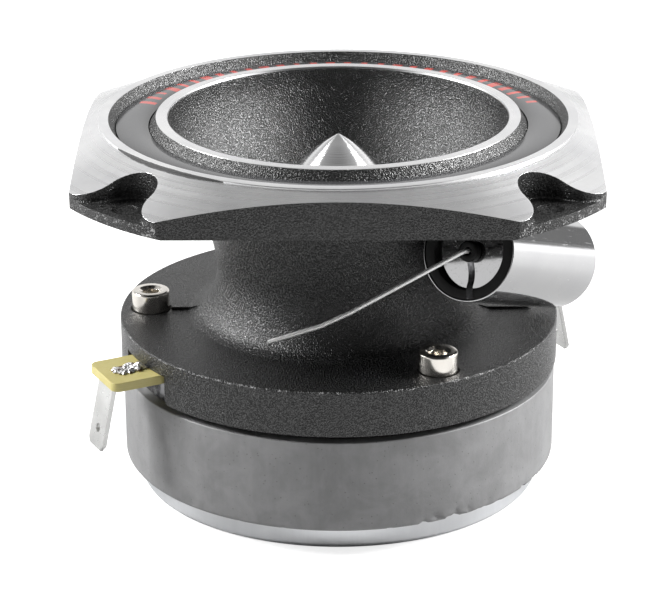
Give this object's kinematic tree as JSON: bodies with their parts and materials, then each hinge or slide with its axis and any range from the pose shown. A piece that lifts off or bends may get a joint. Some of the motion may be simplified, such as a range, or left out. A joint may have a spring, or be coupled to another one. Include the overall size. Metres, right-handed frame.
{
  "type": "car tweeter",
  "caption": "Bullet horn tweeter with a square flange, ferrite motor, side terminals and a series capacitor under the flange.",
  "frame": {"origin": "middle of the back plate's rear face", "axes": "+Z along the driver's axis towards the listener; the flange's flats face +X, -X, +Y and -Y; -Y is the side the free lead crosses"},
  "size_m": [0.0933, 0.092, 0.0691],
  "materials": {
    "black_casting": "fine powder coat",
    "machined_aluminium": "turned bright",
    "label_black": "smooth satin",
    "zinc_plate": "bright zinc",
    "dark_steel": "black passivated",
    "ferrite": "ground ferrite",
    "nickel_screw": "nickel plated",
    "tinned_brass": "tin plated",
    "solder": "lumpy solder",
    "glass_fibre": "glass-fibre laminate",
    "black_rubber": "smooth",
    "bright_can": "mirror bright",
    "titanium": "thin foil",
    "film": "polyimide film",
    "copper": "enamelled copper",
    "felt": "pressed felt",
    "hot_melt": "hot-melt glue",
    "wound_foil": "paper and foil roll"
  },
  "bodies": {
    "driver": {"horn_casting": "black_casting", "trim_ring": "label_black", "phase_plug": "machined_aluminium", "plug_screw": "nickel_screw", "clamp_screw_1": "nickel_screw", "clamp_screw_2": "nickel_screw", "clamp_screw_3": "nickel_screw", "back_plate": "zinc_plate", "pole_piece": "zinc_plate", "magnet_ring": "ferrite", "top_plate": "dark_steel", "damping_felt": "felt", "surround": "film", "diaphragm_carrier": "glass_fibre", "lead_ribbon_left": "copper", "lead_ribbon_right": "copper", "terminal_rivet_left": "tinned_brass", "terminal_rivet_right": "tinned_brass", "terminal_blade_left": "tinned_brass", "terminal_blade_right": "tinned_brass", "solder_left": "solder", "solder_right": "solder", "capacitor_can": "bright_can", "capacitor_seal": "black_rubber", "capacitor_end_disc": "bright_can", "capacitor_grommet": "black_rubber", "capacitor_foil_strip": "dark_steel", "capacitor_winding": "wound_foil", "capacitor_free_lead": "tinned_brass", "capacitor_rear_lead": "tinned_brass", "capacitor_adhesive": "hot_melt"},
    "diaphragm": {"diaphragm_dome": "titanium", "coil_former": "film", "voice_coil": "copper"}
  },
  "joints": [
    {"name": "diaphragm_travel", "type": "slide", "parent": "driver", "child": "diaphragm", "axis": [0, 0, 1], "range_m": [-0.0004, 0.0004], "deforming": ["surround"]}
  ]
}
